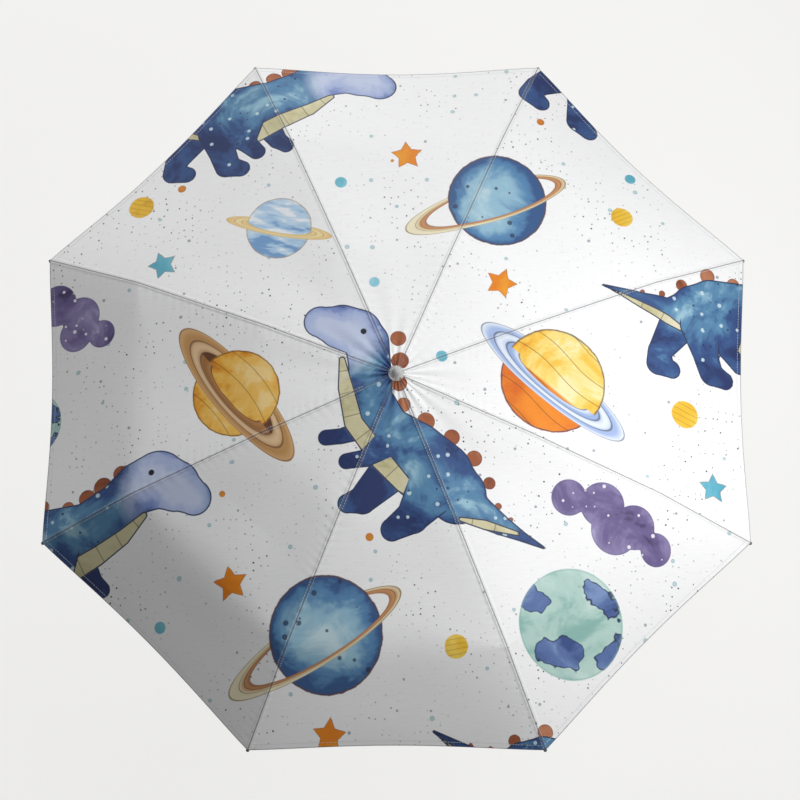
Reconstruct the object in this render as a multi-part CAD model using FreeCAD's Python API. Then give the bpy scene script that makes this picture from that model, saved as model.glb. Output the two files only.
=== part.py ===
# Children's three-fold umbrella, open and upright.
#
# Millimetres and degrees. +Z runs up the shaft, and the origin is the centre of the handle's flat base.
# Eight arms stand at 45 degrees to each other. An arm folds like a Z: its inner rib swings down from the
# crown, its middle rib folds back up outside it, and its outer rib hangs down outside that. A stretcher
# from the runner holds the inner rib up. Three tubes telescope: the upper one carries the crown and the
# runner, and the lower one stands in the handle. Each arm is built in the XZ plane and turned into place.
import FreeCAD
import Part

import math
import os

V = FreeCAD.Vector
CENTRE = V(0, 0, 0)
UP = V(0, 0, 1)
ACROSS = V(0, 1, 0)  # an arm's width and its rivets run this way before the arm is turned into place

# ---------------------------------------------------------------- driving dimensions
ARMS = 8
FIRST_ARM_AZIMUTH = 22.5

# handle and shaft
HANDLE_R = 14.0
HANDLE_HEIGHT = 62.0
HANDLE_BASE_THICKNESS = 3.0
HANDLE_COLLAR_R = 15.5
HANDLE_COLLAR_HEIGHT = 8.0
TUBE_SEAT_Z = 14.0  # where the lower tube stops in the handle
LOWER_TUBE_R = 3.6
MIDDLE_STEP = 1.4  # of the middle tube's radius over the lower tube's
UPPER_STEP = 1.5
TUBE_WALL = 0.5
UPPER_TUBE_LENGTH = 206.0  # from the crown's hinges down to the tube's mouth
SHOWN_LENGTH = 100.0  # of the lower and of the middle tube, with the shaft drawn out
TUBE_OVERLAP = 26.0  # that stays inside the next tube with the shaft drawn out
TUBE_IN_CROWN = 2.0  # of the upper tube above the crown's hinges
TELESCOPE_TRAVEL = 92.0
BUSH_HEIGHT = 12.0
COLLAR_HEIGHT = 5.0
COLLAR_SEAT = 2.0  # how far a tube's mouth stands in its collar
COLLAR_WALL = 1.1

# hinge circles of the crown and the runner
HINGE_OUT = 6.0  # from the upper tube's wall to the hinge circle
HUB_INSET = 2.9  # from the hinge circle in to the hub
FLANGE_MARGIN = 2.1  # from the hinge circle out to the flange's rim
WIRE_R = 0.5
WIRE_CLEARANCE = 0.1  # round the wire in a rib's holes

# arm: lengths along each rib, and the slopes with the canopy open, below the horizontal
INNER_LENGTH = 155.0
MIDDLE_LENGTH = 162.0
OUTER_LENGTH = 133.5
INNER_SLOPE = 9.0
MIDDLE_SLOPE = 13.4
OUTER_SLOPE = 29.0
CLOSED_SLOPE = 88.0  # of the inner and outer ribs, hanging beside the shaft
STRETCHER_AT = 80.0  # along the inner rib, from the crown
STRETCHER_LENGTH = 88.0

# pressed steel sections
INNER_WIDTH = 3.8
INNER_GAP = 2.6
INNER_TOP = 2.2  # above the line of its hinges
INNER_BOTTOM = 1.8
WEB = 0.6
MIDDLE_WIDTH = 3.4
MIDDLE_GAP = 2.4
MIDDLE_HEIGHT = 3.2
MIDDLE_DROP = 1.2  # from the knee hinge down to the middle rib's top face
KNEE_RISE = 4.6  # of the knee hinge over the inner rib's hinge line
HIP_DROP = 7.0  # of the outer hinge below the knee hinge, across the middle rib
STRETCHER_WIDTH = 2.0
STRETCHER_HEIGHT = 2.6
TONGUE_WIDTH = 1.8
ROD_R = 1.1
ROD_RISE = 3.0  # of the outer rod over its hinge
FITTING_LENGTH = 14.0
TIP_R = 2.1
TIP_LENGTH = 10.0
RIVET_R = 0.55
RIVET_HEAD_R = 1.1
RIVET_HEAD = 0.4
RIVET_HOLE_R = 0.65
LUG_R = 1.8
FIT = 0.02  # between a rivet or a bush and what holds it

# crown, ferrule and runner
CROWN_BELOW = 9.0
CROWN_ABOVE = 6.0
CROWN_RIM_TOP = 4.0
CROWN_TOP_R = 5.2  # of the flat that the cloth's hole lies on
SLOT_TOP = 2.9
FLANGE_HALF = 3.5
STUD_R = 3.0
STUD_HEIGHT = 12.0
WASHER_R = 9.0
WASHER_THICKNESS = 0.6
FERRULE_R = 5.6
FERRULE_HEIGHT = 18.0
RUNNER_CLEARANCE = 0.1
RUNNER_ABOVE = 12.0
RUNNER_BELOW = 20.0
RUNNER_LIP_OUT = 1.4  # of the thumb lip past the hub
RUNNER_LIP = 3.0
SLOT_CLEARANCE = 0.3  # each side of a rib or stretcher in its slot
CATCH_WIDTH = 2.2
CATCH_OUT = 1.6  # how far its tooth stands out of the tube
CATCH_TRAVEL = 1.8
CATCH_TOOTH = 7.0
CATCH_LEAF_LENGTH = 50.0
CATCH_LEAF = 0.5

# canopy
CLOTH = 0.5
CLOTH_CLEARANCE = 0.3
CLOTH_HOLE_R = 6.0
CLOTH_TIP_SETBACK = 2.5
STRAP_ARM = 3
STRAP_WIDTH = 14.0
STRAP_OFFSET = 4.0
STRAP_INSET = 4.0  # of its sewn end from the tip
STRAP_LENGTH = 100.0
STRAP_THICKNESS = 1.0
STRAP_GAP = 0.5
SNAP_FROM_END = 10.0
SNAP_R = 4.0
SNAP_HEIGHT = 1.6

# ---------------------------------------------------------------- radii about the shaft
MIDDLE_TUBE_R = LOWER_TUBE_R + MIDDLE_STEP
UPPER_TUBE_R = MIDDLE_TUBE_R + UPPER_STEP
HINGE_R = UPPER_TUBE_R + HINGE_OUT
HUB_R = HINGE_R - HUB_INSET
FLANGE_R = HINGE_R + FLANGE_MARGIN
WIRE_HOLE_R = WIRE_R + WIRE_CLEARANCE + INNER_WIDTH**2 / (8 * HINGE_R)  # the wire curves inside the hole

# ---------------------------------------------------------------- heights up the shaft
LOWER_SHOWN_TOP = HANDLE_HEIGHT + SHOWN_LENGTH
MIDDLE_SHOWN_TOP = LOWER_SHOWN_TOP + SHOWN_LENGTH
CROWN_Z = MIDDLE_SHOWN_TOP + UPPER_TUBE_LENGTH


def along(start, slope, x, z):
    """The point x along and z above a line that leaves start and falls at slope degrees."""
    a = math.radians(-slope)
    return (start[0] + x * math.cos(a) - z * math.sin(a), start[1] + x * math.sin(a) + z * math.cos(a))


# ---------------------------------------------------------------- the arm's hinges, open
CROWN_HINGE = (HINGE_R, CROWN_Z)
ELBOW = along(CROWN_HINGE, INNER_SLOPE, STRETCHER_AT, 0)
KNEE = along(CROWN_HINGE, INNER_SLOPE, INNER_LENGTH, KNEE_RISE)
HIP = along(KNEE, MIDDLE_SLOPE, MIDDLE_LENGTH, -HIP_DROP)
TIP = along(HIP, OUTER_SLOPE, OUTER_LENGTH, ROD_RISE)
STRETCHER_SLOPE = -math.degrees(
    math.acos(STRETCHER_AT * math.cos(math.radians(INNER_SLOPE)) / STRETCHER_LENGTH)
)
RUNNER_HINGE = along(ELBOW, STRETCHER_SLOPE, -STRETCHER_LENGTH, 0)
RUNNER_Z = RUNNER_HINGE[1]

# ---------------------------------------------------------------- and how far they move
CLOSED_STRETCHER_SLOPE = -math.degrees(
    math.acos(STRETCHER_AT * math.cos(math.radians(CLOSED_SLOPE)) / STRETCHER_LENGTH)
)
RUNNER_TRAVEL = (
    STRETCHER_AT * (math.sin(math.radians(CLOSED_SLOPE)) - math.sin(math.radians(INNER_SLOPE)))
    + STRETCHER_LENGTH
    * (math.sin(math.radians(-CLOSED_STRETCHER_SLOPE)) - math.sin(math.radians(-STRETCHER_SLOPE)))
)
INNER_TURN = CLOSED_SLOPE - INNER_SLOPE
STRETCHER_TURN = (CLOSED_STRETCHER_SLOPE - CLOSED_SLOPE) - (STRETCHER_SLOPE - INNER_SLOPE)
MIDDLE_TURN = (-90.0 - CLOSED_SLOPE) - (MIDDLE_SLOPE - INNER_SLOPE)
OUTER_TURN = (CLOSED_SLOPE + 90.0) - (OUTER_SLOPE - MIDDLE_SLOPE)

# ---------------------------------------------------------------- the canopy's underside over an arm
CLOTH_LINE = [
    (CLOTH_HOLE_R, CROWN_Z + CROWN_ABOVE + CLOTH_CLEARANCE),
    along(KNEE, INNER_SLOPE, 0, LUG_R + CLOTH_CLEARANCE),
    along(KNEE, MIDDLE_SLOPE, MIDDLE_LENGTH, CLOTH_CLEARANCE - MIDDLE_DROP),
    along(HIP, OUTER_SLOPE, OUTER_LENGTH - CLOTH_TIP_SETBACK, ROD_RISE + TIP_R + CLOTH_CLEARANCE),
]


# ---------------------------------------------------------------- shared shapes
def bar(x0, x1, z0, z1, width):
    """A block along an arm, centred across it."""
    return Part.makeBox(x1 - x0, width, z1 - z0, V(x0, -width / 2, z0))


def disc(x, z, radius, width):
    """A round plate whose axis runs across the arm."""
    return Part.makeCylinder(radius, width, V(x, -width / 2, z), ACROSS)


def plate(corners, width):
    """A flat plate with its corners given as (x, z) and its thickness across the arm."""
    points = [V(x, -width / 2, z) for x, z in corners]
    return Part.Face(Part.makePolygon(points + points[:1])).extrude(V(0, width, 0))


def fused(first, *others):
    """The pieces as one solid, with no seams left where their faces run on."""
    return first.fuse(list(others)).removeSplitter()


def turned(corners):
    """A solid turned about the shaft. A corner is (r, z), and a third value bulges the run to it as an arc."""
    points = [V(c[0], 0, c[1]) for c in corners]
    edges = []
    for i, corner in enumerate(corners):
        a, b = points[i - 1], points[i]
        if len(corner) == 3:
            chord = b - a
            side = V(chord.z, 0, -chord.x).normalize()
            edges.append(Part.Arc(a, (a + b) * 0.5 + side * corner[2], b).toShape())
        else:
            edges.append(Part.LineSegment(a, b).toShape())
    return Part.Face(Part.Wire(edges)).revolve(CENTRE, UP, 360)


def dome_bulge(radius, height):
    """The bulge of a dome's outline, from its rim to its top, that leaves the top level."""
    return math.hypot(radius, height) / 2 * math.tan(math.atan2(height, radius) / 2)


def tube(radius, wall, z0, z1):
    """A round tube on the shaft's axis."""
    outer = Part.makeCylinder(radius, z1 - z0, V(0, 0, z0))
    return outer.cut(Part.makeCylinder(radius - wall, z1 - z0 + 2, V(0, 0, z0 - 1)))


def rivet(x, z, width):
    """A rivet across a joint of that width, with a head on each side."""
    half = width / 2 + FIT
    near_head = Part.makeCylinder(RIVET_HEAD_R, RIVET_HEAD, V(x, -half - RIVET_HEAD, z), ACROSS)
    far_head = Part.makeCylinder(RIVET_HEAD_R, RIVET_HEAD, V(x, half, z), ACROSS)
    return fused(disc(x, z, RIVET_R, 2 * half), near_head, far_head)


def azimuth(arm):
    """The direction of an arm about the shaft. Arms count from 1."""
    return FIRST_ARM_AZIMUTH + (arm - 1) * 360 / ARMS


def in_place(shape, start, slope, arm):
    """A piece made along X from a hinge at the origin, turned to its slope and put on its arm."""
    moved = shape.copy()
    moved.rotate(CENTRE, ACROSS, slope)
    moved.translate(V(start[0], 0, start[1]))
    moved.rotate(CENTRE, UP, azimuth(arm))
    return moved


def slotted(body, inner_r, z0, z1, width):
    """The body with a radial slot for each arm, from inner_r out."""
    for arm in range(1, ARMS + 1):
        slot = bar(inner_r, FLANGE_R + 1, z0, z1, width)
        slot.rotate(CENTRE, UP, azimuth(arm))
        body = body.cut(slot)
    return body


# ---------------------------------------------------------------- ribs and stretchers
def inner_rib():
    """Channel open downwards, which the stretcher folds up into. Its two lugs carry the knee rivet."""
    lug_foot = INNER_LENGTH - 9.0
    outline = fused(
        disc(0, 0, INNER_TOP - 0.2, INNER_WIDTH),
        bar(0, lug_foot + 1, -INNER_BOTTOM, INNER_TOP, INNER_WIDTH),
        plate(
            [
                (lug_foot, -INNER_BOTTOM),
                (lug_foot, INNER_TOP),
                (INNER_LENGTH - LUG_R * 0.7, KNEE_RISE + LUG_R * 0.7),
                (INNER_LENGTH + LUG_R * 0.9, KNEE_RISE - LUG_R * 0.4),
                (INNER_LENGTH - 3.5, -INNER_BOTTOM),
            ],
            INNER_WIDTH,
        ),
        disc(INNER_LENGTH, KNEE_RISE, LUG_R, INNER_WIDTH),
    )
    under_web = bar(-4, lug_foot + 1, -INNER_BOTTOM - 1, INNER_TOP - WEB, INNER_GAP)
    between_lugs = bar(lug_foot, INNER_LENGTH + 4, -INNER_BOTTOM - 1, KNEE_RISE + 4, INNER_GAP)
    body = outline.cut(under_web).cut(between_lugs)
    body = body.cut(disc(0, 0, WIRE_HOLE_R, INNER_WIDTH + 2))
    body = body.cut(disc(STRETCHER_AT, 0, RIVET_HOLE_R, INNER_WIDTH + 2))
    body = body.cut(disc(INNER_LENGTH, KNEE_RISE, RIVET_HOLE_R, INNER_WIDTH + 2))
    rivets = [rivet(STRETCHER_AT, 0, INNER_WIDTH), rivet(INNER_LENGTH, KNEE_RISE, INNER_WIDTH)]
    return Part.makeCompound([body] + rivets)


def stretcher():
    """Flat bar from the runner to the inner rib, with an eye at each end."""
    half = STRETCHER_HEIGHT / 2
    body = fused(
        bar(0, STRETCHER_LENGTH, -half, half, STRETCHER_WIDTH),
        disc(0, 0, half, STRETCHER_WIDTH),
        disc(STRETCHER_LENGTH, 0, half, STRETCHER_WIDTH),
    )
    for x in (0, STRETCHER_LENGTH):
        body = body.cut(disc(x, 0, RIVET_HOLE_R, STRETCHER_WIDTH + 2))
    return body


def middle_rib():
    """Channel with a tongue up to the knee rivet at one end, and lugs down to the hip rivet at the other."""
    top = -MIDDLE_DROP
    bottom = top - MIDDLE_HEIGHT
    lug_foot = MIDDLE_LENGTH - 10.0
    block_end = 9.0
    tongue_width = INNER_GAP - 2 * SLOT_CLEARANCE
    tongue = fused(
        disc(0, 0, LUG_R - 0.3, tongue_width),
        plate([(-1.0, -1.1), (0.6, 1.3), (5.0, top), (5.0, bottom), (3.4, bottom)], tongue_width),
    )
    shell = fused(
        bar(3.4, MIDDLE_LENGTH - 1, bottom, top, MIDDLE_WIDTH),
        plate(
            [
                (lug_foot, bottom),
                (lug_foot, top),
                (MIDDLE_LENGTH - 1, top),
                (MIDDLE_LENGTH + LUG_R * 0.9, -HIP_DROP + LUG_R * 0.4),
                (MIDDLE_LENGTH - LUG_R * 0.7, -HIP_DROP - LUG_R * 0.7),
            ],
            MIDDLE_WIDTH,
        ),
        disc(MIDDLE_LENGTH, -HIP_DROP, LUG_R, MIDDLE_WIDTH),
    )
    hollow = bar(block_end, MIDDLE_LENGTH + 4, -HIP_DROP - 4, top - WEB, MIDDLE_GAP)
    body = fused(shell.cut(hollow), tongue)
    body = body.cut(disc(0, 0, RIVET_HOLE_R, MIDDLE_WIDTH + 2))
    body = body.cut(disc(MIDDLE_LENGTH, -HIP_DROP, RIVET_HOLE_R, MIDDLE_WIDTH + 2))
    return Part.makeCompound([body, rivet(MIDDLE_LENGTH, -HIP_DROP, MIDDLE_WIDTH)])


def outer_rib():
    """Springy rod crimped into a fitting with a tongue, and a ball tip that the cloth is sewn to."""
    rod_end = OUTER_LENGTH - 2.0
    block_bottom = ROD_RISE - 1.4
    block_top = ROD_RISE + 1.4
    fitting = fused(
        disc(0, 0, LUG_R - 0.3, TONGUE_WIDTH),
        plate(
            [(-1.3, 0.6), (3.4, block_top), (6.0, block_top), (6.0, block_bottom), (0.9, -1.1)],
            TONGUE_WIDTH,
        ),
        bar(3.4, FITTING_LENGTH, block_bottom, block_top, TONGUE_WIDTH + 1.0),
        Part.makeCylinder(ROD_R, rod_end - 6.0, V(6.0, 0, ROD_RISE), V(1, 0, 0)),
    )
    fitting = fitting.cut(disc(0, 0, RIVET_HOLE_R, TONGUE_WIDTH + 2))
    sleeve_r = ROD_R + 0.7
    bore_r = ROD_R + FIT
    tip = turned(
        [
            (0, 0),
            (TIP_R, -TIP_R, -dome_bulge(TIP_R, TIP_R)),
            (sleeve_r, -TIP_R - 1.6),
            (sleeve_r, -TIP_LENGTH),
            (bore_r, -TIP_LENGTH),
            (bore_r, -TIP_R - 1.0),
            (0, -TIP_R - 1.0),
        ]
    )
    tip.rotate(CENTRE, ACROSS, 90)
    tip.translate(V(rod_end + TIP_R + 1.0 + FIT, 0, ROD_RISE))
    return Part.makeCompound([fitting, tip])


# ---------------------------------------------------------------- crown and what is on it
def crown():
    """Slotted hub on the upper tube's top. Its ribs turn on the wire, and its stud takes the ferrule."""
    body = turned(
        [
            (0, CROWN_Z - CROWN_BELOW),
            (HUB_R, CROWN_Z - CROWN_BELOW),
            (HUB_R, CROWN_Z - FLANGE_HALF),
            (FLANGE_R, CROWN_Z - FLANGE_HALF),
            (FLANGE_R, CROWN_Z + CROWN_RIM_TOP),
            (CROWN_TOP_R, CROWN_Z + CROWN_ABOVE),
            (STUD_R, CROWN_Z + CROWN_ABOVE),
            (STUD_R, CROWN_Z + CROWN_ABOVE + STUD_HEIGHT),
            (0, CROWN_Z + CROWN_ABOVE + STUD_HEIGHT),
        ]
    )
    socket_foot = CROWN_Z - CROWN_BELOW - 1
    socket_top = CROWN_Z + TUBE_IN_CROWN
    body = body.cut(Part.makeCylinder(UPPER_TUBE_R + FIT, socket_top - socket_foot, V(0, 0, socket_foot)))
    slot_width = INNER_WIDTH + 2 * SLOT_CLEARANCE
    body = slotted(body, HUB_R + 0.2, CROWN_Z - FLANGE_HALF - 1, CROWN_Z + SLOT_TOP, slot_width)
    return body.cut(Part.makeTorus(HINGE_R, WIRE_R + FIT, V(0, 0, CROWN_Z)))


def ferrule():
    """Moulded cap that screws on the stud and holds the cloth down."""
    foot = CROWN_Z + CROWN_ABOVE + CLOTH_CLEARANCE + CLOTH + WASHER_THICKNESS + 4 * FIT
    top = foot + FERRULE_HEIGHT
    bore_top = CROWN_Z + CROWN_ABOVE + STUD_HEIGHT + 0.5
    neck_r = FERRULE_R * 0.78
    return turned(
        [
            (STUD_R + FIT, foot),
            (FERRULE_R + 2.2, foot),
            (FERRULE_R, foot + 2.4, -0.5),
            (neck_r, top - 3.0),
            (0, top, dome_bulge(neck_r, 3.0)),
            (0, bore_top),
            (STUD_R + FIT, bore_top),
        ]
    )


def ferrule_washer():
    """Flat disc between the ferrule and the cloth."""
    foot = CROWN_Z + CROWN_ABOVE + CLOTH_CLEARANCE + CLOTH + 2 * FIT
    disc_ = Part.makeCylinder(WASHER_R, WASHER_THICKNESS, V(0, 0, foot))
    return disc_.cut(Part.makeCylinder(STUD_R + FIT, WASHER_THICKNESS + 2, V(0, 0, foot - 1)))


# ---------------------------------------------------------------- runner and its catch
RUNNER_BORE_R = UPPER_TUBE_R + RUNNER_CLEARANCE
CATCH_TOP = RUNNER_Z - RUNNER_BELOW - 0.5
CATCH_FOOT = CATCH_TOP - CATCH_TOOTH


def runner():
    """Slotted slider on the upper tube. A keyway in its bore passes the catch's tooth."""
    body = turned(
        [
            (RUNNER_BORE_R, RUNNER_Z - RUNNER_BELOW),
            (HUB_R + RUNNER_LIP_OUT, RUNNER_Z - RUNNER_BELOW),
            (HUB_R + RUNNER_LIP_OUT, RUNNER_Z - RUNNER_BELOW + RUNNER_LIP, -0.4),
            (HUB_R, RUNNER_Z - RUNNER_BELOW + RUNNER_LIP + 2.0),
            (HUB_R, RUNNER_Z - FLANGE_HALF),
            (FLANGE_R, RUNNER_Z - FLANGE_HALF),
            (FLANGE_R, RUNNER_Z + FLANGE_HALF),
            (HUB_R, RUNNER_Z + FLANGE_HALF),
            (HUB_R, RUNNER_Z + RUNNER_ABOVE - 1.5),
            (HUB_R - 1.5, RUNNER_Z + RUNNER_ABOVE, -0.4),
            (RUNNER_BORE_R, RUNNER_Z + RUNNER_ABOVE),
        ]
    )
    body = slotted(
        body,
        HUB_R + 0.6,
        RUNNER_Z - FLANGE_HALF - 1,
        RUNNER_Z + FLANGE_HALF + 1,
        STRETCHER_WIDTH + 2 * SLOT_CLEARANCE,
    )
    keyway_width = CATCH_WIDTH + 2 * SLOT_CLEARANCE
    keyway = bar(
        0,
        UPPER_TUBE_R + CATCH_OUT + SLOT_CLEARANCE,
        RUNNER_Z - RUNNER_BELOW - 1,
        RUNNER_Z + RUNNER_ABOVE + 1,
        keyway_width,
    )
    return body.cut(keyway).cut(Part.makeTorus(HINGE_R, WIRE_R + FIT, V(0, 0, RUNNER_Z)))


def runner_wire():
    """Lengths of the tie wire in the flange, from slot to slot."""
    ring = Part.makeTorus(HINGE_R, WIRE_R, V(0, 0, RUNNER_Z))
    return slotted(ring, 0, RUNNER_Z - 2, RUNNER_Z + 2, STRETCHER_WIDTH + 2 * SLOT_CLEARANCE)


def runner_catch():
    """Leaf inside the upper tube, with a wedge tooth through the tube's wall under the runner."""
    leaf_r = UPPER_TUBE_R - TUBE_WALL - CATCH_LEAF - 0.3
    leaf = bar(leaf_r - CATCH_LEAF, leaf_r, CATCH_FOOT - 1, CATCH_TOP + CATCH_LEAF_LENGTH, CATCH_WIDTH)
    reach = UPPER_TUBE_R + CATCH_OUT
    tooth = plate(
        [
            (leaf_r - CATCH_LEAF / 2, CATCH_TOP),
            (reach, CATCH_TOP),
            (reach, CATCH_TOP - 1.5),
            (leaf_r, CATCH_FOOT),
            (leaf_r - CATCH_LEAF / 2, CATCH_FOOT),
        ],
        CATCH_WIDTH,
    )
    return fused(leaf, tooth)


# ---------------------------------------------------------------- tubes
def upper_tube():
    """Tube from the crown down, with a slot for the catch's tooth."""
    body = tube(UPPER_TUBE_R, TUBE_WALL, CROWN_Z - UPPER_TUBE_LENGTH, CROWN_Z + TUBE_IN_CROWN)
    slot_width = CATCH_WIDTH + 2 * SLOT_CLEARANCE
    return body.cut(bar(0, UPPER_TUBE_R + 1, CATCH_FOOT - 0.5, CATCH_TOP + 0.5, slot_width))


def mouth_collar(tube_r, inner_r, mouth_z):
    """Moulded collar on a tube's mouth that guides the tube inside it."""
    foot = mouth_z + COLLAR_SEAT - COLLAR_HEIGHT
    body = Part.makeCylinder(tube_r + COLLAR_WALL, COLLAR_HEIGHT, V(0, 0, foot))
    body = body.makeFillet(0.5, [e for e in body.Edges if len(e.Vertexes) == 1])
    seat = Part.makeCylinder(tube_r + FIT, COLLAR_SEAT + 1, V(0, 0, mouth_z))
    bore = Part.makeCylinder(inner_r + RUNNER_CLEARANCE, COLLAR_HEIGHT + 2, V(0, 0, foot - 1))
    return body.cut(seat).cut(bore)


def slide_bush(tube_r, outer_bore_r, top_z):
    """Nylon bush round a tube's top end, a sliding fit in the tube outside it."""
    radius = outer_bore_r - RUNNER_CLEARANCE
    return tube(radius, radius - tube_r - FIT, top_z - BUSH_HEIGHT, top_z)


UPPER_MOUTH_Z = MIDDLE_SHOWN_TOP
MIDDLE_MOUTH_Z = LOWER_SHOWN_TOP
MIDDLE_TOP_Z = UPPER_MOUTH_Z + TUBE_OVERLAP
LOWER_TOP_Z = MIDDLE_MOUTH_Z + TUBE_OVERLAP


# ---------------------------------------------------------------- handle
def handle_grip():
    """Moulded grip, round for most of its height and waisted under its collar."""
    top = HANDLE_HEIGHT - HANDLE_COLLAR_HEIGHT
    body = turned(
        [
            (0, HANDLE_BASE_THICKNESS),
            (HANDLE_R, HANDLE_BASE_THICKNESS),
            (HANDLE_R, top - 8.0),
            (HANDLE_R, top, 1.0),
            (0, top),
        ]
    )
    bore = Part.makeCylinder(LOWER_TUBE_R + FIT, HANDLE_HEIGHT, V(0, 0, TUBE_SEAT_Z))
    plug_hole = Part.makeCylinder(HANDLE_R - 4.0, 3.0 + FIT, V(0, 0, HANDLE_BASE_THICKNESS - 0.001))
    return body.cut(bore).cut(plug_hole)


def handle_collar():
    """Ring on the grip's top that the shaft leaves through."""
    foot = HANDLE_HEIGHT - HANDLE_COLLAR_HEIGHT
    return turned(
        [
            (LOWER_TUBE_R + FIT, foot),
            (HANDLE_COLLAR_R - 1.0, foot),
            (HANDLE_COLLAR_R, foot + 1.0, -0.25),
            (HANDLE_COLLAR_R, HANDLE_HEIGHT - 3.0),
            (HANDLE_COLLAR_R - 3.0, HANDLE_HEIGHT, -0.8),
            (LOWER_TUBE_R + FIT, HANDLE_HEIGHT),
        ]
    )


def handle_base():
    """Plug that closes the grip, with the flat face that the folded umbrella stands on."""
    return turned(
        [
            (0, 0),
            (HANDLE_R - 2.0, 0),
            (HANDLE_R, 2.0, -0.5),
            (HANDLE_R, HANDLE_BASE_THICKNESS - FIT),
            (HANDLE_R - 4.0 - FIT, HANDLE_BASE_THICKNESS - FIT),
            (HANDLE_R - 4.0 - FIT, HANDLE_BASE_THICKNESS + 3.0 - FIT),
            (0, HANDLE_BASE_THICKNESS + 3.0 - FIT),
        ]
    )


# ---------------------------------------------------------------- canopy
def on_arm(point, arm, lift=0.0):
    """A point (r, z) of the arm's plane as a place in space, raised by lift."""
    a = math.radians(azimuth(arm))
    return V(point[0] * math.cos(a), point[0] * math.sin(a), point[1] + lift)


def faceted(loops):
    """A closed solid from its flat faces, each a list of corners."""
    faces = [Part.Face(Part.makePolygon(loop + loop[:1])) for loop in loops]
    solid = Part.makeSolid(Part.makeShell(faces))
    if solid.Volume < 0:
        solid.reverse()
    return solid


def canopy_panel(arm):
    """One gore of cloth, from the seam over this arm to the seam over the next, cut straight at the hem."""
    after = arm % ARMS + 1
    under = [[on_arm(p, a) for a in (arm, after)] for p in CLOTH_LINE]
    over = [[on_arm(p, a, CLOTH) for a in (arm, after)] for p in CLOTH_LINE]
    loops = []
    for near, far in ((0, 1), (1, 2), (2, 3)):
        loops.append([under[near][0], under[near][1], under[far][1], under[far][0]])
        loops.append([over[near][0], over[far][0], over[far][1], over[near][1]])
        for side in (0, 1):
            loops.append([under[near][side], under[far][side], over[far][side], over[near][side]])
    for end in (0, 3):
        loops.append([under[end][0], over[end][0], over[end][1], under[end][1]])
    return faceted(loops)


def under_hem(arm, inset, offset, drop):
    """A place drop below the outer cloth, inset from an arm's tip along its seam and offset to its left."""
    near, far = CLOTH_LINE[2], CLOTH_LINE[3]
    run = math.hypot(far[0] - near[0], far[1] - near[1])
    share = 1 - inset / run
    r = near[0] + share * (far[0] - near[0])
    z = near[1] + share * (far[1] - near[1])
    half = math.radians(180 / ARMS)
    fall = (near[1] - far[1]) / ((far[0] - near[0]) * math.cos(half))
    a = math.radians(azimuth(arm))
    z -= fall * math.sin(half) * offset
    return V(r * math.cos(a) - offset * math.sin(a), r * math.sin(a) + offset * math.cos(a), z - drop)


def tie_strap():
    """Strap sewn under the hem beside one arm, lying along the cloth."""
    near, far = STRAP_OFFSET, STRAP_OFFSET + STRAP_WIDTH
    sewn, free = STRAP_INSET, STRAP_INSET + STRAP_LENGTH
    corners = [(sewn, near), (free, near), (free, far), (sewn, far)]
    top = [under_hem(STRAP_ARM, inset, offset, STRAP_GAP) for inset, offset in corners]
    normal = (top[1] - top[0]).cross(top[3] - top[0]).normalize()
    down = normal * STRAP_THICKNESS * (-1 if normal.z > 0 else 1)
    return Part.Face(Part.makePolygon(top + top[:1])).extrude(down)


def tie_snap():
    """Press stud on the strap's free end."""
    middle = STRAP_OFFSET + STRAP_WIDTH / 2
    inset = STRAP_INSET + STRAP_LENGTH - SNAP_FROM_END
    start = under_hem(STRAP_ARM, inset, middle, STRAP_GAP)
    further = under_hem(STRAP_ARM, inset - 10.0, middle, STRAP_GAP)
    beside = under_hem(STRAP_ARM, inset, middle + 5.0, STRAP_GAP)
    normal = (further - start).cross(beside - start).normalize()
    down = normal * (-1 if normal.z > 0 else 1)
    return Part.makeCylinder(SNAP_R, SNAP_HEIGHT, start + down * (STRAP_THICKNESS + FIT), down)


# ---------------------------------------------------------------- nodes
def all_nodes():
    """Every node's name with its shape."""
    nodes = {
        "handle_grip": handle_grip(),
        "handle_collar": handle_collar(),
        "handle_base": handle_base(),
        "lower_tube": tube(LOWER_TUBE_R, TUBE_WALL, TUBE_SEAT_Z, LOWER_TOP_Z),
        "middle_tube": tube(MIDDLE_TUBE_R, TUBE_WALL, MIDDLE_MOUTH_Z, MIDDLE_TOP_Z),
        "upper_tube": upper_tube(),
        "lower_tube_bush": slide_bush(LOWER_TUBE_R, MIDDLE_TUBE_R - TUBE_WALL, LOWER_TOP_Z),
        "middle_tube_bush": slide_bush(MIDDLE_TUBE_R, UPPER_TUBE_R - TUBE_WALL, MIDDLE_TOP_Z),
        "middle_tube_collar": mouth_collar(MIDDLE_TUBE_R, LOWER_TUBE_R, MIDDLE_MOUTH_Z),
        "upper_tube_collar": mouth_collar(UPPER_TUBE_R, MIDDLE_TUBE_R, UPPER_MOUTH_Z),
        "crown": crown(),
        "crown_wire": Part.makeTorus(HINGE_R, WIRE_R, V(0, 0, CROWN_Z)),
        "ferrule": ferrule(),
        "ferrule_washer": ferrule_washer(),
        "runner": runner(),
        "runner_wire": runner_wire(),
        "runner_catch": runner_catch(),
        "tie_strap": tie_strap(),
        "tie_snap": tie_snap(),
    }
    inner, bar_, middle, outer = inner_rib(), stretcher(), middle_rib(), outer_rib()
    for arm in range(1, ARMS + 1):
        nodes[f"inner_rib_{arm}"] = in_place(inner, CROWN_HINGE, INNER_SLOPE, arm)
        nodes[f"stretcher_{arm}"] = in_place(bar_, RUNNER_HINGE, STRETCHER_SLOPE, arm)
        nodes[f"middle_rib_{arm}"] = in_place(middle, KNEE, MIDDLE_SLOPE, arm)
        nodes[f"outer_rib_{arm}"] = in_place(outer, HIP, OUTER_SLOPE, arm)
        nodes[f"canopy_panel_{arm}"] = canopy_panel(arm)
    return nodes


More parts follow.
